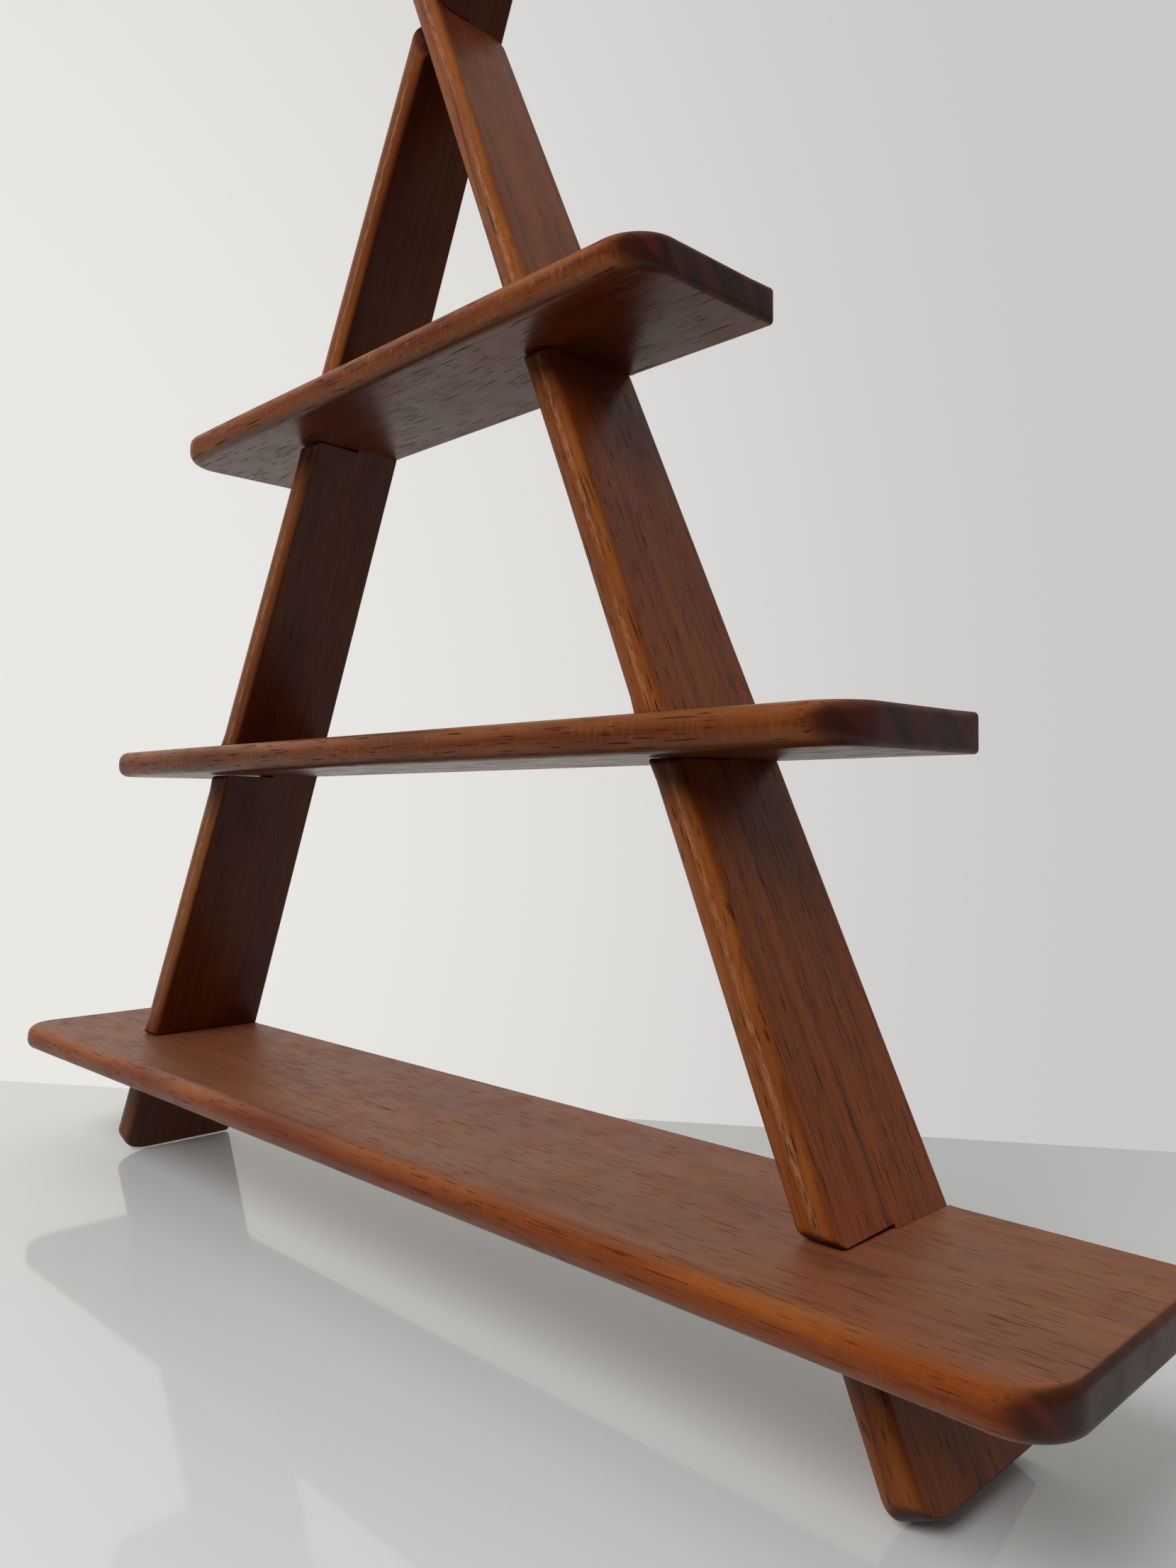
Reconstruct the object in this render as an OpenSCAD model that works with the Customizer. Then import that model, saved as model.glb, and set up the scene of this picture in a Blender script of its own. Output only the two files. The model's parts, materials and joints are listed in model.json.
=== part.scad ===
// Slot-together A-frame display shelf: two crossed leaning legs and three shelf boards.
// Every joint is a cross-halving: half of the slot is cut in each of the two boards.
// Origin: on the floor, half way along the bottom shelf and half way through its depth.
// +X runs along the shelves to the right, +Y runs to the back, +Z is up. Millimetres.

/* [Shelves] */
// Thickness of the three shelf boards
shelf_thickness = 13; // [11:0.5:15]
// Length of the bottom shelf, left to right
bottom_length = 600; // [580:5:640]
// Depth of the bottom shelf, front to back
bottom_depth = 99; // [90:1:110]
// Height of the bottom shelf's underside above the floor
bottom_height = 55; // [45:1:65]
// Length of the middle shelf, left to right
middle_length = 470; // [440:5:500]
// Depth of the middle shelf, front to back
middle_depth = 76; // [70:1:85]
// Height of the middle shelf's underside above the floor
middle_height = 208; // [195:1:220]
// Length of the top shelf, left to right
top_length = 316; // [290:2:340]
// Depth of the top shelf, front to back
top_depth = 74; // [66:1:80]
// Height of the top shelf's underside above the floor
top_height = 364; // [350:1:380]

/* [Legs] */
// Thickness of both legs
leg_thickness = 13; // [11:0.5:15]
// Length of each leg, measured along the board
leg_length = 645; // [625:5:670]
// Depth of each leg at its foot, front to back
leg_foot_depth = 64; // [58:1:70]
// Depth of each leg at its top end, front to back
leg_top_depth = 36; // [32:1:44]
// Lean of each leg from the vertical, in degrees
leg_lean = 24.7; // [23:0.1:26]
// Height at which the two legs' middle planes cross
crossing_height = 537; // [525:1:550]

/* [Edges] */
// Radius of the shelves' front corners, seen from above
shelf_corner = 18; // [10:1:22]
// Radius of the rounded front edge of each shelf
shelf_front_round = 6; // [2:0.25:6]
// Radius of the rounded ends of each shelf
shelf_end_round = 3.5; // [1:0.25:5]
// Radius of the legs' front corner at the foot, seen from the side
foot_corner = 9; // [5:1:20]
// Radius of the legs' front corner at the top end, seen from the side
head_corner = 9; // [5:1:16]
// Radius of the rounded front edges of each leg
leg_front_round = 2.5; // [1:0.25:4]
// Radius of the shallow crown across the front of each leg
leg_crown = 12; // [10:1:20]
// Radius of every corner that touches the back plane
back_corner = 2.5; // [1:0.25:4]

/* [Fit] */
// Clearance between a slot's wall and the board that lies in it
slot_gap = 0.15; // [0.1:0.05:0.3]

/* [Hidden] */

// Facets on a full circle
$fn = 64;
// Where all the boards end at the back
back_y = bottom_depth / 2;
// Extra reach of a cutter past the board that it cuts
overcut = 60;
// The foot stands on its inner lower edge, so the end's middle is a little higher
foot_z = leg_thickness / 2 * sin(leg_lean);
foot_x = (crossing_height - foot_z) * tan(leg_lean);
// Slope of a leg's front edge, seen from the side
taper_angle = atan((leg_foot_depth - leg_top_depth) / leg_length);
RIGHT = 1;
LEFT = -1;

leg_color = [0.46, 0.24, 0.13];
shelf_color = [0.52, 0.29, 0.16];

// Depth of a leg at a height above the floor
function leg_depth_at(height) =
    leg_foot_depth - (height - foot_z) / cos(leg_lean) * tan(taper_angle);

// Half way through a leg at a height: the floor of every slot there
function slot_floor_at(height) = back_y - leg_depth_at(height) / 2;

function unit(v) = v / norm(v);
function turn(a, b) = acos(unit(a) * unit(b));

// Points before and after a rounded corner c, with neighbours p and n
function corner_ends(p, c, n, r) =
    let (reach = r / tan(turn(p - c, n - c) / 2))
    [c + reach * unit(p - c), c + reach * unit(n - c)];

// Centre of the arc that rounds the corner c
function corner_centre(p, c, n, r) =
    c + r / sin(turn(p - c, n - c) / 2) * unit(unit(p - c) + unit(n - c));

// A convex outline with one radius for each corner, as straight sides and true arcs
module rounded_outline(points, radii) {
    count = len(points);
    function at(i) = points[(i + count) % count];
    polygon([
        for (i = [0 : count - 1])
            each corner_ends(at(i - 1), at(i), at(i + 1), radii[i])
    ]);
    for (i = [0 : count - 1])
        translate(corner_centre(at(i - 1), at(i), at(i + 1), radii[i]))
            circle(r = radii[i]);
}

// A board's section: width across X, with the two corners at y = 0 rounded
module half_round_section(width, depth, r) {
    for (side = [LEFT, RIGHT])
        translate([side * (width / 2 - r), r])
            circle(r = r);
    translate([-width / 2, r])
        square([width, depth - r]);
    translate([-(width / 2 - r), 0])
        square([width - 2 * r, depth]);
}

// A leg's section: the two rounded front corners, and a crown between them
module leg_section(depth) {
    intersection() {
        half_round_section(leg_thickness, depth, leg_front_round);
        union() {
            translate([0, leg_crown])
                circle(r = leg_crown);
            translate([-leg_thickness / 2, leg_crown])
                square([leg_thickness, depth - leg_crown]);
        }
    }
}

// Runs a flat outline, drawn in Y and Z, along X
module along_x(length) {
    rotate([90, 0, 90])
        linear_extrude(height = length, center = true)
            children();
}

// A shelf board with its underside at z = 0 and no slots
module shelf_blank(length, depth) {
    front_y = back_y - depth;
    intersection() {
        linear_extrude(height = shelf_thickness)
            rounded_outline(
                [[-length / 2, front_y], [length / 2, front_y],
                 [length / 2, back_y], [-length / 2, back_y]],
                [shelf_corner, shelf_corner, back_corner, back_corner]
            );
        // Rounds the front edge
        translate([0, front_y, shelf_thickness / 2])
            along_x(length + overcut)
                rotate([0, 0, -90])
                    half_round_section(shelf_thickness, depth + overcut, shelf_front_round);
        // Rounds both ends
        translate([0, front_y - overcut / 2, 0])
            rotate([-90, 0, 0])
                linear_extrude(height = depth + overcut)
                    end_section(length);
    }
}

// A shelf's section seen from the front, with all four corners rounded
module end_section(length) {
    half = length / 2;
    r = shelf_end_round;
    rounded_outline(
        [[-half, -shelf_thickness], [half, -shelf_thickness], [half, 0], [-half, 0]],
        [r, r, r, r]
    );
}

// A leg board standing upright on z = 0, with no slots
module leg_blank() {
    intersection() {
        along_x(leg_thickness)
            rounded_outline(
                [[back_y - leg_foot_depth, 0], [back_y, 0],
                 [back_y, leg_length], [back_y - leg_top_depth, leg_length]],
                [foot_corner, back_corner, back_corner, head_corner]
            );
        // Rounds the front along the taper
        translate([0, back_y - leg_foot_depth, 0])
            rotate([-taper_angle, 0, 0])
                translate([0, 0, -overcut])
                    linear_extrude(height = leg_length + 2 * overcut)
                        leg_section(leg_foot_depth + overcut);
    }
}

// Leans what is drawn upright on z = 0 into the place of one leg
module lean_to(side) {
    translate([side * foot_x, 0, foot_z])
        rotate([0, -side * leg_lean, 0])
            children();
}

// The space that one leg needs, from y_from to y_to
module leg_slot(side, y_from, y_to) {
    width = leg_thickness + 2 * slot_gap;
    lean_to(side)
        translate([-width / 2, y_from, -overcut])
            cube([width, y_to - y_from, leg_length + 2 * overcut]);
}

// A slot in both legs for one shelf, open to the front
module shelf_slot(height) {
    middle = height + shelf_thickness / 2;
    front_y = back_y - bottom_depth - overcut;
    translate([-bottom_length / 2, front_y, height - slot_gap])
        cube([
            bottom_length,
            slot_floor_at(middle) + slot_gap - front_y,
            shelf_thickness + 2 * slot_gap
        ]);
}

// One leg with its three shelf slots, before the slot for the other leg
module leg_with_shelf_slots(side) {
    difference() {
        lean_to(side)
            leg_blank();
        for (height = [bottom_height, middle_height, top_height])
            shelf_slot(height);
    }
}

// A shelf in its place, with a slot for each leg, open to the back
module slotted_shelf(length, depth, height) {
    floor_y = slot_floor_at(height + shelf_thickness / 2) - slot_gap;
    difference() {
        translate([0, 0, height])
            shelf_blank(length, depth);
        for (side = [LEFT, RIGHT])
            leg_slot(side, floor_y, back_y + overcut);
    }
}

// The right leg runs through in front: its slot for the left leg opens to the back
module right_leg() {
    color(leg_color)
        difference() {
            leg_with_shelf_slots(RIGHT);
            leg_slot(LEFT, slot_floor_at(crossing_height) - slot_gap, back_y + overcut);
        }
}

// The left leg runs through behind: its slot for the right leg opens to the front
module left_leg() {
    color(leg_color)
        difference() {
            leg_with_shelf_slots(LEFT);
            leg_slot(
                RIGHT,
                back_y - bottom_depth - overcut,
                slot_floor_at(crossing_height) + slot_gap
            );
        }
}

module bottom_shelf() {
    color(shelf_color)
        slotted_shelf(bottom_length, bottom_depth, bottom_height);
}

module middle_shelf() {
    color(shelf_color)
        slotted_shelf(middle_length, middle_depth, middle_height);
}

module top_shelf() {
    color(shelf_color)
        slotted_shelf(top_length, top_depth, top_height);
}

right_leg();
left_leg();
bottom_shelf();
middle_shelf();
top_shelf();
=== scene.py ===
import json
import math

import bpy
from mathutils import Matrix, Vector, noise


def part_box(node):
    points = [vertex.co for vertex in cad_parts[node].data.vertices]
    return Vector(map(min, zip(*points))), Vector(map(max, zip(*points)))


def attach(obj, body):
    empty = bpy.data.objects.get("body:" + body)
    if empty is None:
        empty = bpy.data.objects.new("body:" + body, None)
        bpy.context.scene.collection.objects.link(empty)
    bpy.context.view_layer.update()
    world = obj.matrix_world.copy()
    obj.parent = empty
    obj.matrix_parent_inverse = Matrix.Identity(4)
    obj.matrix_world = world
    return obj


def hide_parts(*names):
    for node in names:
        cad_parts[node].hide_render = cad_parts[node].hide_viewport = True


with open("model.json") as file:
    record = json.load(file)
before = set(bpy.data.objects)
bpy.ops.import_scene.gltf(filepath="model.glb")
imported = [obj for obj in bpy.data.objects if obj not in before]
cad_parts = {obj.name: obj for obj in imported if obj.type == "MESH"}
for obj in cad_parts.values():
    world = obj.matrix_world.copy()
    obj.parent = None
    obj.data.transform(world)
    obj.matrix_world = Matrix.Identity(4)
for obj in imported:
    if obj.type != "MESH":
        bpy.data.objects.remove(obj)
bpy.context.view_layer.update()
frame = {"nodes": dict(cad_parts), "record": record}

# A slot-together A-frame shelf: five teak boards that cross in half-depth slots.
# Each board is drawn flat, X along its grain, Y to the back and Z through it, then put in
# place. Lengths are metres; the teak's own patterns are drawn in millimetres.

MM = 0.001
MOUNTS = {m["name"]: m for m in frame["record"]["mounts"]}

# --- the frame's own sizes -------------------------------------------------------------

FOOT = Vector(MOUNTS["right_foot_end"]["pos_m"])
FOOT_AXIS = Vector(MOUNTS["right_foot_end"]["axis"])
LEAN = math.atan2(FOOT_AXIS.x, -FOOT_AXIS.z)
LEG_THICKNESS = 2 * FOOT.z / math.sin(LEAN)
CROSSING_HEIGHT = FOOT.z + FOOT.x / math.tan(LEAN)
BACK_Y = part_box("bottom_shelf")[1].y
SHELVES = ("bottom_shelf", "middle_shelf", "top_shelf")
RIGHT, LEFT = 1, -1

# --- shape details that only the visual boards have ------------------------------------

SHELF_CORNER = 18 * MM
# The worn front corner of a foot: two soft bends, as (reach, radius)
FOOT_BEND = (12 * MM, 26 * MM)
TOE_BEND = (3 * MM, 8 * MM)
HEAD_CORNER = 9 * MM
BACK_CORNER = 2.5 * MM
SLOT_FILLET = 0.5 * MM
SLOT_GAP = 0.15 * MM
# How each edge is rounded: its depth, and its reach across the board's thickness
SHELF_FRONT_RIM = Vector((6.0, 6.2)) * MM
SHELF_END_RIM = Vector((2.4, 2.6)) * MM
LEG_FRONT_RIM = Vector((3.0, 6.2)) * MM
LEG_END_RIM = Vector((1.4, 1.4)) * MM
BACK_RIM = Vector((1.0, 1.0)) * MM
BACK_CORNER_RIM = Vector((1.7, 1.9)) * MM
SLOT_RIM = Vector((0.4, 0.4)) * MM
# 2 makes a rim an ellipse; more makes it squarer
SHELF_SQUARENESS = 2.0
LEG_SQUARENESS = 2.3
# A shelf's end rim begins to narrow this far before the back corner
END_FADE = 14 * MM

# Mesh steps: along straight edges, round corners, round a rim, and across the flat between
EDGE_STEP = 4 * MM
CORNER_STEP = 0.8 * MM
RIM_STEPS = 10
FLAT_STEPS = 3
# A ring of points this far inside each rim keeps the flat faces' shading flat
SUPPORT = 0.5 * MM
# What is left of a lip's radius inside that ring, at least
SPARE = 0.2 * MM
# By what share a rim's size wanders along its edge
RIM_WANDER = 0.08
# Sanding wears the edge by this much, more or less, and fades out this far in from it
WORN_DEPTH = 0.11 * MM
WORN_REACH = 2 * MM

# Radius of the slots' lips: in the shelves, and where the legs cross
SHELF_LIP = 1.2 * MM
CROSSING_LIP = {"right_leg": 5.0 * MM, "left_leg": 8.0 * MM}
# How far the legs' slots are worn open below and above each shelf, and their lips' radius
SLOT_WEAR = {
    "right_leg": {
        "bottom_shelf": (0.2 * MM, 0.9 * MM, 5.0 * MM),
        "middle_shelf": (0.1 * MM, 0.2 * MM, 2.8 * MM),
        "top_shelf": (0.3 * MM, 0.2 * MM, 3.4 * MM),
    },
    "left_leg": {
        "bottom_shelf": (0.2 * MM, 0.1 * MM, 2.8 * MM),
        "middle_shelf": (0.7 * MM, 0.1 * MM, 2.8 * MM),
        "top_shelf": (0.8 * MM, 0.2 * MM, 3.2 * MM),
    },
}


# --- outlines --------------------------------------------------------------------------

class Slot:
    """A cross-halving slot: its middle and half width along the board, and its floor."""

    def __init__(self, middle, half, floor, slope, lip, low_gap=0.0, high_gap=0.0):
        self.middle = middle
        self.half = half + SLOT_GAP
        self.floor = floor
        self.slope = slope
        self.lip = lip
        self.low_gap = low_gap
        self.high_gap = high_gap


class Corner:
    """A corner of a board's outline, with its fillet and the rim before and after it."""

    def __init__(self, x, y, fillet, rim_in, rim_out=None):
        self.at = Vector((x, y))
        self.fillet = fillet
        self.rim_in = rim_in
        self.rim_out = rim_in if rim_out is None else rim_out


def leg_matrix(side):
    """Leg board to world: X up along the leg, Y to the back, Z across its thickness."""
    along = Vector((-side * math.sin(LEAN), 0, math.cos(LEAN)))
    back = Vector((0, 1, 0))
    across = along.cross(back)
    leaning = Matrix((along, back, across)).transposed().to_4x4()
    return Matrix.Translation((side * FOOT.x, 0, FOOT.z)) @ leaning


def leg_station(height):
    """How far up a leg its middle plane is at a height above the floor."""
    return (height - FOOT.z) / math.cos(LEAN)


def front_line(side, node):
    """The straight front edge of a leg, (y at the foot, slope), from its CAD slot mouths."""
    mouth_half = 12 * MM
    to_local = leg_matrix(side).inverted()
    points = [to_local @ v.co for v in frame["nodes"][node].data.vertices]
    found = []
    for shelf in ("bottom_shelf", "top_shelf"):
        station = leg_station(sum(p.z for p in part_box(shelf)) / 2)
        near = [p for p in points if abs(p.x - station) < mouth_half]
        found.append(min(near, key=lambda p: p.y))
    slope = (found[1].y - found[0].y) / (found[1].x - found[0].x)
    return found[0].y - slope * found[0].x, slope


FRONT_Y, TAPER = front_line(RIGHT, "right_leg")


def slot_floor(height):
    """Half way through a leg at a height, where every slot ends."""
    return (BACK_Y + FRONT_Y + TAPER * leg_station(height)) / 2


def leg_length():
    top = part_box("right_leg")[1].z
    return (top - FOOT.z - LEG_THICKNESS / 2 * math.sin(LEAN)) / math.cos(LEAN)


def slot_corners(slot, mouth, outer_rim, direction):
    """The corners of a slot, in the order met along an edge that runs in direction."""
    low = slot.middle - slot.half
    high = slot.middle + slot.half
    walls = [(low, slot.low_gap, -1), (high, slot.high_gap, 1)]
    if direction < 0:
        walls.reverse()
    (first, first_gap, first_side), (last, last_gap, last_side) = walls
    before = first + first_side * 3 * slot.lip
    after = last + last_side * 3 * slot.lip
    # A rim stays shallower than the lip that it goes round
    deepest = slot.lip - SUPPORT - SPARE
    lip_rim = outer_rim * min(1.0, deepest / outer_rim.x)
    return [
        Corner(before, mouth(before), 0, outer_rim),
        Corner(first, mouth(first), slot.lip, lip_rim, SLOT_RIM),
        Corner(first + first_side * first_gap, slot.floor, SLOT_FILLET, SLOT_RIM),
        Corner(last + last_side * last_gap, slot.floor, SLOT_FILLET, SLOT_RIM),
        Corner(last, mouth(last), slot.lip, SLOT_RIM, lip_rim),
        Corner(after, mouth(after), 0, outer_rim),
    ]


def back_slot_corners(slots):
    """The corners of all the slots in a back edge, met from high X to low X."""
    corners = []
    for slot in sorted(slots, key=lambda s: -s.middle):
        corners += slot_corners(slot, lambda x: BACK_Y, BACK_RIM, -1)
    return corners


def shelf_outline(low, high, slots):
    """A shelf's outline, seen from above, anticlockwise from its front left corner."""
    return [
        Corner(low.x, low.y, SHELF_CORNER, SHELF_END_RIM, SHELF_FRONT_RIM),
        Corner(high.x, low.y, SHELF_CORNER, SHELF_FRONT_RIM, SHELF_END_RIM),
        Corner(high.x, BACK_Y - END_FADE, 0, SHELF_END_RIM),
        Corner(high.x, BACK_Y, BACK_CORNER, BACK_CORNER_RIM, BACK_RIM),
        *back_slot_corners(slots),
        Corner(low.x, BACK_Y, BACK_CORNER, BACK_RIM, BACK_CORNER_RIM),
        Corner(low.x, BACK_Y - END_FADE, 0, SHELF_END_RIM),
    ]


def leg_outline(length, front_slots, back_slots):
    """A leg's outline, seen from its side, from the front corner of its foot."""
    def front(x):
        return FRONT_Y + TAPER * x

    foot_reach, foot_radius = FOOT_BEND
    toe_reach, toe_radius = TOE_BEND
    corners = [
        Corner(0, front(0) + foot_reach, foot_radius, LEG_END_RIM),
        Corner(toe_reach, front(toe_reach), toe_radius, LEG_END_RIM, LEG_FRONT_RIM),
    ]
    for slot in sorted(front_slots, key=lambda s: s.middle):
        corners += slot_corners(slot, front, LEG_FRONT_RIM, 1)
    return corners + [
        Corner(length, front(length), HEAD_CORNER, LEG_FRONT_RIM, LEG_END_RIM),
        Corner(length, BACK_Y, BACK_CORNER, LEG_END_RIM, BACK_RIM),
        *back_slot_corners(back_slots),
        Corner(0, BACK_Y, BACK_CORNER, BACK_RIM, LEG_END_RIM),
    ]


def turned(v, angle):
    return Vector((v.x * math.cos(angle) - v.y * math.sin(angle),
                   v.x * math.sin(angle) + v.y * math.cos(angle)))


def corner_arc(previous, corner, following):
    """Points round one corner: (place, outward normal, rim)."""
    before = (corner.at - previous.at).normalized()
    after = (following.at - corner.at).normalized()
    normal = Vector((before.y, -before.x))
    if not corner.fillet:
        return [(corner.at, normal, corner.rim_in)]
    turn = math.atan2(before.x * after.y - before.y * after.x, before.dot(after))
    sign = 1 if turn >= 0 else -1
    start = corner.at - before * corner.fillet * math.tan(abs(turn) / 2)
    centre = start - normal * corner.fillet * sign
    pieces = max(4, round(abs(turn) * corner.fillet / CORNER_STEP))
    arc = []
    for k in range(pieces + 1):
        share = k / pieces
        outward = turned(normal, turn * share)
        rim = corner.rim_in.lerp(corner.rim_out, share)
        arc.append((centre + outward * corner.fillet * sign, outward, rim))
    return arc


def walk(corners):
    """Points all along an outline: (place, outward normal, rim)."""
    following = corners[1:] + corners[:1]
    previous = corners[-1:] + corners[:-1]
    arcs = [corner_arc(*three) for three in zip(previous, corners, following)]
    points = []
    for arc, next_arc in zip(arcs, arcs[1:] + arcs[:1]):
        points += arc
        start, _, rim = arc[-1]
        end, _, next_rim = next_arc[0]
        way = (end - start).normalized()
        normal = Vector((way.y, -way.x))
        pieces = max(1, round((end - start).length / EDGE_STEP))
        for k in range(1, pieces):
            share = k / pieces
            points.append((start.lerp(end, share), normal, rim.lerp(next_rim, share)))
    return points


# --- board meshes ----------------------------------------------------------------------

def hand_worn(x, y, seed):
    """A little uneven sanding, as a depth below the true surface."""
    broad = noise.noise(Vector((x * 11, y * 11, seed)))
    fine = noise.noise(Vector((x * 70, y * 70, seed + 7)))
    return max(0.0, WORN_DEPTH + (0.10 * broad + 0.06 * fine) * MM)


def edge_profile(rim, thickness, squareness):
    """The board's edge from its lower face to its upper one: (inset, height, bend) each."""
    half = thickness / 2
    lower = [(rim.x + SUPPORT, -half, 0.0)]
    for k in range(RIM_STEPS + 1):
        angle = math.pi / 2 * (1 - k / RIM_STEPS)
        inset = rim.x * (1 - max(0.0, math.cos(angle)) ** (2 / squareness))
        height = -half + rim.y * (1 - math.sin(angle) ** (2 / squareness))
        lower.append((inset, height, math.sin(2 * angle)))
    middle = [
        (0.0, (rim.y - half) * (1 - 2 * k / FLAT_STEPS), 0.0)
        for k in range(1, FLAT_STEPS)
    ]
    upper = [(inset, -height, bend) for inset, height, bend in reversed(lower)]
    return lower + middle + upper


class Board:
    """A board with rounded rims and slanted slots, centred on Z = 0, from X low to X high."""

    def __init__(self, corners, slots, thickness, low, high, taper, squareness, seed):
        self.corners = corners
        self.slots = sorted(slots, key=lambda s: s.middle)
        self.thickness = thickness
        self.low = low
        self.high = high
        self.taper = taper
        self.squareness = squareness
        self.seed = seed

    def slope_along(self, x):
        """How far points shift along X per unit of height, so that the slots lie slanted."""
        knots = [(self.low, 0.0)]
        for slot in self.slots:
            knots.append((slot.middle - slot.half, slot.slope))
            knots.append((slot.middle + slot.half, slot.slope))
        knots.append((self.high, 0.0))
        for (x0, slope0), (x1, slope1) in zip(knots, knots[1:]):
            if x <= x1:
                share = min(1, max(0, (x - x0) / (x1 - x0)))
                return slope0 + (slope1 - slope0) * share
        return 0.0

    def column(self, at, normal, rim):
        """Points across the edge at one place, lower face to upper: (point, bend) each."""
        uneven = noise.noise(Vector((at.x * 14, at.y * 14, self.seed + 3)))
        rim = rim * (1 + RIM_WANDER * uneven)
        worn = hand_worn(at.x, at.y, self.seed)
        slope = self.slope_along(at.x)
        in_slot = rim.x <= SLOT_RIM.x * 1.2
        column = []
        for inset, height, bend in edge_profile(rim, self.thickness, self.squareness):
            p = at - normal * (inset + worn * max(0, 1 - inset / WORN_REACH))
            along = slope * height
            # A leg's front edge slants, so a shift along it is a shift across it too
            across = self.taper * along * (BACK_Y - p.y) / (BACK_Y - FRONT_Y - self.taper * p.x)
            column.append(((p.x + along, p.y + across, height), 0.0 if in_slot else bend))
        return column

    def mesh(self, name):
        """The board's mesh; its point attribute for edge wear and painted highlight is 1 in the
        middle of each rounding.
        """
        columns = [self.column(*stop) for stop in walk(self.corners)]
        levels = len(columns[0])
        count = len(columns)
        rings = [columns[i][k] for k in range(levels) for i in range(count)]
        faces = [list(range(count))[::-1], [(levels - 1) * count + i for i in range(count)]]
        for k in range(levels - 1):
            for i in range(count):
                j = (i + 1) % count
                lower, upper = k * count, (k + 1) * count
                faces.append((lower + i, lower + j, upper + j, upper + i))
        mesh = bpy.data.meshes.new(name)
        mesh.from_pydata([point for point, _ in rings], [], faces)
        mesh.polygons.foreach_set("use_smooth", [True] * len(faces))
        edge = mesh.attributes.new("edge_wear_and_highlight", "FLOAT", "POINT")
        edge.data.foreach_set("value", [bend for _, bend in rings])
        mesh.update()
        return mesh


def placed(name, mesh, matrix):
    obj = bpy.data.objects.new(name, mesh)
    bpy.context.scene.collection.objects.link(obj)
    obj.matrix_world = matrix
    return obj


# --- the five boards -------------------------------------------------------------------

def shelf_board(node, seed):
    low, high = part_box(node)
    middle = (low.z + high.z) / 2
    half = LEG_THICKNESS / 2 / math.cos(LEAN)
    x = (CROSSING_HEIGHT - middle) * math.tan(LEAN)
    floor = slot_floor(middle) - SLOT_GAP
    slots = [
        Slot(side * x, half, floor, -side * math.tan(LEAN), SHELF_LIP)
        for side in (LEFT, RIGHT)
    ]
    board = Board(shelf_outline(low, high, slots), slots, high.z - low.z, low.x, high.x, 0,
                  SHELF_SQUARENESS, seed)
    return placed(node + "_board", board.mesh(node + "_board"),
                  Matrix.Translation((0, 0, middle)))


def shelf_slots_in_leg(side, node):
    """The slots, open to the front, that the three shelves lie in."""
    slots = []
    for shelf, (low_gap, high_gap, lip) in SLOT_WEAR[node].items():
        low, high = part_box(shelf)
        middle = (low.z + high.z) / 2
        half = (high.z - low.z) / 2 / math.cos(LEAN)
        floor = slot_floor(middle) + SLOT_GAP
        slope = side * math.tan(LEAN)
        slots.append(Slot(leg_station(middle), half, floor, slope, lip, low_gap, high_gap))
    return slots


def leg_board(side, node, seed):
    """The right leg's crossing slot opens to the back, the left leg's to the front."""
    length = leg_length()
    crossing = Slot(
        leg_station(CROSSING_HEIGHT), LEG_THICKNESS / 2 / math.sin(2 * LEAN),
        slot_floor(CROSSING_HEIGHT) - side * SLOT_GAP, -side / math.tan(2 * LEAN),
        CROSSING_LIP[node],
    )
    front_slots = shelf_slots_in_leg(side, node)
    back_slots = []
    if side == RIGHT:
        back_slots.append(crossing)
    else:
        front_slots.append(crossing)
    board = Board(leg_outline(length, front_slots, back_slots), front_slots + back_slots,
                  LEG_THICKNESS, 0, length, TAPER, LEG_SQUARENESS, seed)
    return placed(node + "_board", board.mesh(node + "_board"), leg_matrix(side))


# --- teak ------------------------------------------------------------------------------

def linear(red, green, blue):
    """An sRGB colour, 0 to 255, as Blender's linear one."""
    def channel(value):
        value /= 255
        return value / 12.92 if value <= 0.04045 else ((value + 0.055) / 1.055) ** 2.4

    return channel(red), channel(green), channel(blue), 1.0


TINT = {
    "red": linear(116, 46, 16),
    "gold": linear(146, 74, 24),
    "brown": linear(84, 34, 14),
    # Painted light on a leg's foot
    "painted_foot_light": linear(178, 84, 26),
    # A leg's front: paler for wear and for painted light
    "front": linear(146, 84, 40),
    # Pale rays, and edges that are partly worn and partly a painted highlight
    "worn": linear(184, 112, 50),
    "dry": linear(134, 96, 74),
    # Painted highlight
    "painted_highlight": linear(204, 150, 112),
    "line": linear(44, 16, 8),
    "end": linear(80, 34, 30),
    "end_dark": linear(40, 13, 14),
    "pore": linear(20, 8, 5),
}

# Sizes of the teak's patterns, in millimetres: along the grain, and across it both ways
FIBRE = (45, 0.5, 0.5)
STREAK = (170, 4.5, 4.5)
MOTTLE = (85, 24, 24)
FLECK = (1.3, 5, 5)
FLECK_PATCH = (22, 9, 9)
LINE_PATCH = (90, 12, 12)
WORN_PATCH = (90, 14, 14)
# Sizes of the painted highlight on a leg's front, and of its patches
HIGHLIGHT_STREAK = (5, 0.6, 0.6)
HIGHLIGHT_PATCH = (60, 30, 30)
END_BAND = (80, 50, 7)
SMUDGE = (16, 11, 11)
WAVE = (35, 9, 9)
# How strongly the oiled wood mirrors the room
SHEEN = 0.31


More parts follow.
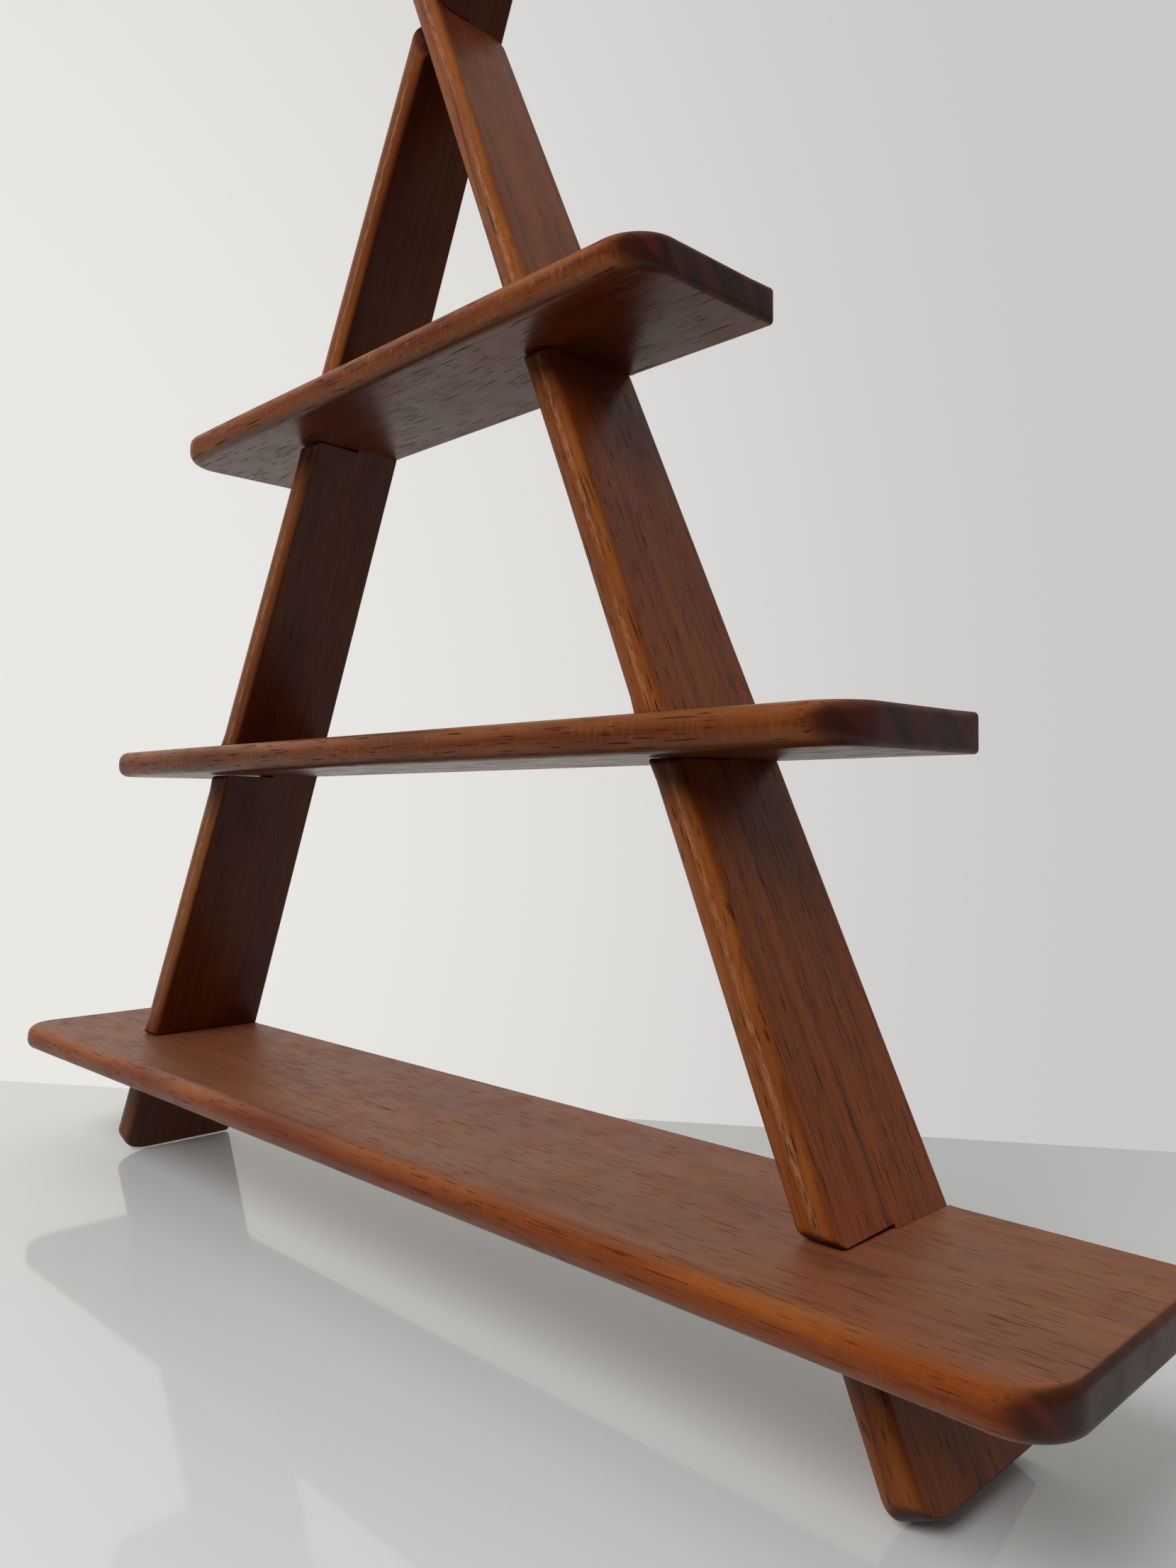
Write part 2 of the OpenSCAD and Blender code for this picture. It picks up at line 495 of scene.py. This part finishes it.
class Look:
    """One board's own tree and wear, and the light and shade painted on it. Strengths go from 0 to
    about 1.
    """

    def __init__(self, seed, pith, ring_spacing, line_strength, streaks, pore_strength=1.0,
                 pore_size=1.0, shade=1.0, foot_gold_and_light=0.0, flecks=0.0, dry_top=0.0, leg_wear_light_and_shade=0.0):
        self.seed = seed
        # The middle of the growth rings, in the board's y and z, and their spacing
        self.pith = pith
        self.ring_spacing = ring_spacing
        self.line_strength = line_strength
        self.streaks = streaks
        self.pore_strength = pore_strength
        self.pore_size = pore_size
        self.shade = shade
        # How golden the wood is towards X = 0, a leg's foot: partly its own tone, partly painted
        # light that brightens the foot
        self.foot_gold_and_light = foot_gold_and_light
        self.flecks = flecks
        self.dry_top = dry_top
        # Wear on a leg's front and arrises, with the light and shade painted there
        self.leg_wear_light_and_shade = leg_wear_light_and_shade


BOARDS = {
    "right_leg": Look(
        seed=3.0, pith=(60, 45), ring_spacing=2.9, line_strength=0.95, streaks=0.32,
        foot_gold_and_light=1.0, leg_wear_light_and_shade=0.42,
    ),
    "left_leg": Look(
        seed=7.0, pith=(70, -30), ring_spacing=3.3, line_strength=0.60, streaks=0.30,
        pore_strength=0.7, shade=0.68, leg_wear_light_and_shade=0.42,
    ),
    "bottom_shelf": Look(
        seed=11.0, pith=(-20, -95), ring_spacing=3.6, line_strength=0.35, streaks=0.30,
        pore_strength=0.7, shade=1.15, flecks=0.10, dry_top=1.0,
    ),
    "middle_shelf": Look(
        seed=15.0, pith=(80, -75), ring_spacing=3.2, line_strength=0.45, streaks=0.50,
        pore_size=1.2, shade=0.74, flecks=0.20, dry_top=0.5,
    ),
    "top_shelf": Look(
        seed=19.0, pith=(-60, -60), ring_spacing=3.0, line_strength=0.45, streaks=0.40,
        pore_size=1.4, shade=0.94, flecks=0.45, dry_top=0.5,
    ),
}


class Graph:
    """Short names for the shader nodes that the materials are built from."""

    def __init__(self, tree):
        self.tree = tree

    def link(self, value, socket):
        self.tree.links.new(value, socket)

    def node(self, kind, inputs, **settings):
        made = self.tree.nodes.new(kind)
        for name, value in settings.items():
            setattr(made, name, value)
        for key, value in inputs.items():
            if isinstance(value, bpy.types.NodeSocket):
                self.link(value, made.inputs[key])
            else:
                made.inputs[key].default_value = value
        return made

    def math(self, operation, *values):
        return self.node("ShaderNodeMath", dict(enumerate(values)), operation=operation).outputs[0]

    def product(self, first, *others):
        for other in others:
            first = self.math("MULTIPLY", first, other)
        return first

    def vector(self, operation, *values):
        made = self.node("ShaderNodeVectorMath", dict(enumerate(values)), operation=operation)
        return made.outputs["Value" if operation == "LENGTH" else "Vector"]

    def window(self, value, low, high, at_low=0.0, at_high=1.0):
        """A soft step from at_low to at_high as value goes from low to high."""
        inputs = {0: value, 1: low, 2: high, 3: at_low, 4: at_high}
        return self.node("ShaderNodeMapRange", inputs, interpolation_type="SMOOTHSTEP").outputs[0]

    def noise(self, place, sizes, detail=2.0, output=0):
        inputs = {"Vector": self.vector("DIVIDE", place, sizes), "Scale": 1.0, "Detail": detail}
        return self.node("ShaderNodeTexNoise", inputs).outputs[output]

    def mix(self, share, a, b, blend="MIX"):
        inputs = {0: share, 6: a, 7: b}
        made = self.node("ShaderNodeMix", inputs, data_type="RGBA", blend_type=blend)
        return made.outputs[2]


def wandering(g, place):
    """A place moved across the grain, so that what is drawn there wanders as real grain does."""
    slow = g.vector("SUBTRACT", g.noise(place, (170, 60, 60), 1.0, 1), (0.5, 0.5, 0.5))
    quick = g.vector("SUBTRACT", g.noise(place, (30, 9, 9), 1.0, 1), (0.5, 0.5, 0.5))
    bent = g.vector("ADD", place, g.vector("MULTIPLY", slow, (0, 9, 9)))
    return g.vector("ADD", bent, g.vector("MULTIPLY", quick, (0, 0.9, 0.9)))


def growth_rings(g, place, bent, pith, spacing):
    """(dark pore line, slow darkening) of the growth rings round the pith."""
    offset = g.vector("SUBTRACT", bent, (0, *pith))
    distance = g.vector("LENGTH", g.vector("MULTIPLY", offset, (0, 1, 1)))
    phase = g.math("DIVIDE", distance, spacing)
    uneven = g.node("ShaderNodeTexNoise", {"W": g.product(phase, 0.37), "Scale": 1.0},
                    noise_dimensions="1D").outputs[0]
    phase = g.math("ADD", phase, g.product(uneven, 3.2))
    ring = g.math("FLOOR", phase)
    share = g.math("FRACT", phase)
    strength = g.node("ShaderNodeTexWhiteNoise", {"W": ring}, noise_dimensions="1D").outputs[0]
    fading = g.window(g.noise(place, LINE_PATCH), 0.35, 0.6)
    line = g.product(
        g.window(share, 0.0, 0.04), g.window(share, 0.05, 0.22, 1.0, 0.0),
        g.math("MULTIPLY_ADD", strength, 0.8, 0.2), g.math("MULTIPLY_ADD", fading, 0.7, 0.3),
    )
    return line, g.math("POWER", share, 2.0)


def dashes(g, bent, length, width, reach, faintest, share):
    """Open pores of one size: dashes along the grain, each with its own darkness."""
    cells = g.node("ShaderNodeTexVoronoi", {
        "Vector": g.vector("DIVIDE", bent, (length, width, width)),
        "Scale": 1.0,
        "Randomness": 1.0,
    })
    shape = g.window(cells.outputs["Distance"], 0.55 * reach, reach, 1.0, 0.0)
    chance = g.node("ShaderNodeSeparateColor", {0: cells.outputs["Color"]}).outputs
    kept = g.math("LESS_THAN", chance[0], share)
    darkness = g.math("MULTIPLY_ADD", chance[1], 1.0 - faintest, faintest)
    return g.product(shape, g.product(kept, darkness))


def pores(g, bent, line, size):
    """All the open pores: short, middling and long, the long ones mostly on growth lines."""
    short = dashes(g, bent, 14, 0.95 * size, 0.26, 0.25, 0.75)
    middling = dashes(g, bent, 26 * size, 1.2 * size, 0.22, 0.45, 0.85)
    long = dashes(g, bent, 48, 1.5 * size, 0.21, 0.60, g.math("MULTIPLY_ADD", line, 0.4, 0.6))
    return g.math("MAXIMUM", short, g.math("MAXIMUM", middling, long))


class Wood:
    """What a teak's colour, gloss and relief share: the place, the kind of face, the grain."""

    def __init__(self, g, look):
        seed = look.seed
        source = g.node("ShaderNodeTexCoord", {})
        local = g.vector("MULTIPLY", source.outputs["Object"], (1000, 1000, 1000))
        self.place = g.vector("ADD", local, (seed * 137.0, seed * 31.0, seed * 53.0))
        self.x, _, self.z = g.node("ShaderNodeSeparateXYZ", {0: local}).outputs
        facing = g.node("ShaderNodeSeparateXYZ", {0: source.outputs["Normal"]}).outputs
        end_on = g.math("ABSOLUTE", facing[0])
        self.end_grain = g.window(end_on, 0.14, 0.58)
        self.narrow_edge = g.window(g.math("ABSOLUTE", facing[1]), 0.4, 0.9)
        self.upper_face = g.window(facing[2], 0.6, 0.97, 0.0, look.dry_top)
        self.edge = g.node("ShaderNodeAttribute", {}, attribute_name="edge_wear_and_highlight").outputs["Fac"]

        bent = wandering(g, g.vector("ADD", local, (seed * 137.0, 0, 0)))
        self.line, self.late = growth_rings(g, self.place, bent, look.pith, look.ring_spacing)
        self.fibre = g.noise(self.place, FIBRE, 3.0)
        # Pores close on end grain, and near the top of a leg
        openness = g.product(g.window(end_on, 0.1, 0.6, look.pore_strength, 0.1),
                             g.window(self.x, 370, 500, 1.0, 0.35))
        self.pore = g.product(pores(g, bent, self.line, look.pore_size), openness)


def grain_color(g, wood, look):
    """The bare wood: red to gold, gold and painted light towards a leg's foot, then its brown
    streaks, late wood and fibres.
    """
    foot_gold_and_light = g.product(g.window(wood.x, 0, 400, look.foot_gold_and_light, 0.0),
                       g.math("SUBTRACT", 1.0, wood.narrow_edge))
    mottle = g.window(g.noise(wood.place, MOTTLE), 0.3, 0.7)
    streak = g.noise(wood.place, STREAK)
    shade = (look.shade, look.shade, look.shade, 1)
    color = g.mix(g.math("ADD", mottle, foot_gold_and_light), TINT["red"], TINT["gold"])
    # Painted light: a brighter orange towards a leg's foot
    color = g.mix(g.product(foot_gold_and_light, 0.5), color, TINT["painted_foot_light"])
    color = g.mix(g.window(streak, 0.40, 0.66, 0.0, look.streaks), color, TINT["brown"])
    color = g.mix(g.product(wood.late, 0.5 * look.streaks), color, TINT["brown"])
    color = g.mix(g.window(wood.fibre, 0.36, 0.68, 0.0, 0.40), color, TINT["brown"])
    return g.mix(1.0, color, shade, "MULTIPLY")


def cross_flecks(g, wood, look):
    """Pale rays across the grain, in patches, on a shelf's edges."""
    fleck = g.window(g.noise(wood.place, FLECK, 3.0), 0.45, 0.72)
    patch = g.window(g.noise(wood.place, FLECK_PATCH), 0.35, 0.60)
    return g.product(fleck, patch, g.product(wood.narrow_edge, look.flecks))


def painted_arris_shade(g, wood, look):
    """Painted shade: a dark line just inside each long arris of a leg, where the rounding turns
    from the light.
    """
    across = g.math("ABSOLUTE", wood.z)
    return g.product(g.window(across, 4.4, 5.8), g.window(across, 6.3, 6.5, 1.0, 0.0),
                     look.leg_wear_light_and_shade)


def painted_highlight_streak(g, wood, front_wear_and_light):
    """A painted highlight: a pale broken streak down a leg's front, a little to one side of its
    middle.
    """
    painted_highlight = g.window(g.noise(wood.place, HIGHLIGHT_STREAK), 0.36, 0.60)
    patch = g.window(g.noise(wood.place, HIGHLIGHT_PATCH), 0.25, 0.50)
    off_streak = g.math("ABSOLUTE", g.math("ADD", wood.z, 1.5))
    return g.product(painted_highlight, patch, g.window(off_streak, 0.3, 1.8, 1.0, 0.0), front_wear_and_light)


def end_color(g, wood):
    """End grain: slanting bands of two dark browns."""
    slanted = g.node("ShaderNodeMapping", {"Vector": wood.place, "Rotation": (0.9, 0, 0)})
    band = g.window(g.noise(slanted.outputs[0], END_BAND, 1.0), 0.42, 0.58)
    return g.mix(band, TINT["end"], TINT["end_dark"])


def teak_color(g, wood, look):
    """The wood with its wear, growth lines, end grain and pores, and painted light, shade and
    highlights.
    """
    # A leg's front is paler, partly worn and partly painted light; it fades out near the foot as
    # painted shade under the bottom shelf
    front_wear_and_light = g.product(wood.narrow_edge, g.window(wood.x, 25, 95, 0.0, look.leg_wear_light_and_shade))
    patchy = g.window(g.noise(wood.place, WORN_PATCH), 0.35, 0.62)
    color = grain_color(g, wood, look)
    color = g.mix(front_wear_and_light, color, TINT["front"])
    # Painted shade along the legs' arrises
    color = g.mix(painted_arris_shade(g, wood, look), color, TINT["brown"])
    color = g.mix(g.product(wood.upper_face, 0.45), color, TINT["dry"])
    color = g.mix(cross_flecks(g, wood, look), color, TINT["worn"])
    color = g.mix(g.product(wood.line, look.line_strength), color, TINT["line"])
    # Edges paler in the middle of each rounding: partly wear, partly a painted highlight
    color = g.mix(g.product(wood.edge, g.product(patchy, 0.32)), color, TINT["worn"])
    color = g.mix(g.product(wood.end_grain, 0.85), color, end_color(g, wood))
    # Painted highlight down the legs' fronts
    color = g.mix(painted_highlight_streak(g, wood, front_wear_and_light), color, TINT["painted_highlight"])
    return g.mix(g.product(wood.pore, 0.95), color, TINT["pore"])


def teak_roughness(g, wood):
    """Satin, duller in smudges, on the edges, the dry tops, the pores and the end grain."""
    smudge = g.window(g.noise(wood.place, SMUDGE, 4.0), 0.42, 0.68)
    rough = g.math("MULTIPLY_ADD", smudge, 0.08, 0.30)
    rough = g.math("MULTIPLY_ADD", wood.narrow_edge, 0.10, rough)
    rough = g.math("MULTIPLY_ADD", wood.upper_face, 0.14, rough)
    rough = g.math("MULTIPLY_ADD", wood.pore, 0.40, rough)
    return g.math("MULTIPLY_ADD", wood.end_grain, 0.12, rough)


def teak_relief(g, wood):
    """Open pores and sunken growth lines in a slightly wavy, fibrous surface."""
    height = g.product(wood.pore, -1.0)
    height = g.math("MULTIPLY_ADD", wood.fibre, 0.20, height)
    height = g.math("MULTIPLY_ADD", wood.line, -0.25, height)
    height = g.math("MULTIPLY_ADD", g.noise(wood.place, WAVE, 1.0), 0.6, height)
    bump = {"Strength": 0.6, "Distance": 0.18 * MM, "Height": height}
    return g.node("ShaderNodeBump", bump).outputs[0]


def teak(name, look):
    """Oiled teak with the grain along the piece's own X."""
    material = bpy.data.materials.new(name)
    material.use_nodes = True
    shader = material.node_tree.nodes["Principled BSDF"]
    g = Graph(material.node_tree)
    wood = Wood(g, look)
    g.link(teak_color(g, wood, look), shader.inputs["Base Color"])
    g.link(teak_roughness(g, wood), shader.inputs["Roughness"])
    g.link(teak_relief(g, wood), shader.inputs["Normal"])
    shader.inputs["Specular IOR Level"].default_value = SHEEN
    return material


# --- stage, light and camera -----------------------------------------------------------

# The table's far edge: which way it faces, and how far it and the other edges reach
TABLE_EDGE_NORMAL = Vector((-0.54, 0.84, 0)).normalized()
TABLE_FAR, TABLE_NEAR, TABLE_SIDE = 0.25, 1.4, 1.3
# Brightness of the room seen from the shelf, by direction
ROOM = {"right": 0.10, "left": 0.90, "back": 0.42, "front": 0.10, "up": 0.46, "down": 0.23}
ROOM_TINT = (1.0, 0.96, 0.89)
# How much of that is left towards the photographer's side
FRONT_DIM = 0.3
# The wall as the camera sees it, to the left and to the back, darker to the back with painted
# shade
WALL_LEFT = linear(233, 232, 228)
WALL_BACK = linear(203, 201, 201)


def pale_gloss():
    material = bpy.data.materials.new("pale_floor")
    material.use_nodes = True
    shader = material.node_tree.nodes["Principled BSDF"]
    shader.inputs["Base Color"].default_value = (0.82, 0.88, 0.93, 1)
    shader.inputs["Roughness"].default_value = 0.06
    return material


def make_floor():
    """A pale table top, with its far edge where the photographed one meets the wall."""
    along = Vector((TABLE_EDGE_NORMAL.y, -TABLE_EDGE_NORMAL.x, 0))
    corners = [(-TABLE_SIDE, -TABLE_NEAR), (TABLE_SIDE, -TABLE_NEAR),
               (TABLE_SIDE, TABLE_FAR), (-TABLE_SIDE, TABLE_FAR)]
    points = [along * a + TABLE_EDGE_NORMAL * b for a, b in corners]
    mesh = bpy.data.meshes.new("floor")
    mesh.from_pydata(points, [], [(0, 1, 2, 3)])
    mesh.materials.append(pale_gloss())
    floor = placed("floor", mesh, Matrix())
    # The room's own light from below stands in for the table's bounce
    floor.visible_diffuse = False


def make_world():
    """A pale room, brightest to the left; what the camera sees of it is a plain wall."""
    world = bpy.data.worlds.new("studio")
    world.use_nodes = True
    g = Graph(world.node_tree)
    way = g.node("ShaderNodeTexCoord", {}).outputs["Generated"]
    parts = g.node("ShaderNodeSeparateXYZ", {0: way}).outputs
    total = 0.0
    sides = (("right", "left"), ("back", "front"), ("up", "down"))
    for part, (positive, negative) in zip(parts, sides):
        side = g.math("GREATER_THAN", part, 0.0)
        bright = g.math("MULTIPLY_ADD", side, ROOM[positive] - ROOM[negative], ROOM[negative])
        total = g.math("MULTIPLY_ADD", g.product(part, part), bright, total)
    total = g.product(total, g.window(parts[1], -0.75, -0.1, FRONT_DIM, 1.0))
    # Painted shade: the wall darkens from the left towards the back
    wall = g.mix(g.window(parts[0], -0.95, -0.35), WALL_LEFT, WALL_BACK)
    seen = g.node("ShaderNodeLightPath", {}).outputs["Is Camera Ray"]
    color = g.mix(seen, g.vector("MULTIPLY", ROOM_TINT, total), wall)
    g.link(color, world.node_tree.nodes["Background"].inputs["Color"])
    bpy.context.scene.world = world


def make_window_light():
    """A soft light from the front, high up; it is never seen, nor mirrored in the table."""
    place = Vector((0.25, -1.45, 1.45))
    target = Vector((0, 0, 0.25))
    light = bpy.data.lights.new("window", "AREA")
    light.shape = "DISK"
    light.size = 1.2
    light.energy = 28
    light.color = (1, 0.96, 0.90)
    facing = (target - place).to_track_quat("-Z", "Y").to_matrix().to_4x4()
    obj = placed("window", light, Matrix.Translation(place) @ facing)
    obj.visible_camera = False
    obj.visible_glossy = False


def make_camera():
    """The photograph's viewing point and angle."""
    camera = bpy.data.cameras.new("camera")
    camera.lens = 26.8
    camera.sensor_width = 36
    camera.clip_start = 0.01
    yaw = Matrix.Rotation(math.radians(45.375), 4, "Z")
    pitch = Matrix.Rotation(math.radians(91.206), 4, "X")
    roll = Matrix.Rotation(math.radians(0.103), 4, "Z")
    place = Matrix.Translation((0.4050, -0.2883, 0.1911))
    bpy.context.scene.camera = placed("camera", camera, place @ yaw @ pitch @ roll)


# --- the scene -------------------------------------------------------------------------

make_camera()
make_world()
make_floor()
make_window_light()
bpy.context.scene.view_settings.view_transform = "Standard"

for node, look in BOARDS.items():
    if node in SHELVES:
        piece = shelf_board(node, look.seed)
    else:
        piece = leg_board(RIGHT if node == "right_leg" else LEFT, node, look.seed)
    piece.data.materials.append(teak(node + "_teak", look))
    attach(piece, node)
    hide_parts(node)

bpy.context.view_layer.update()
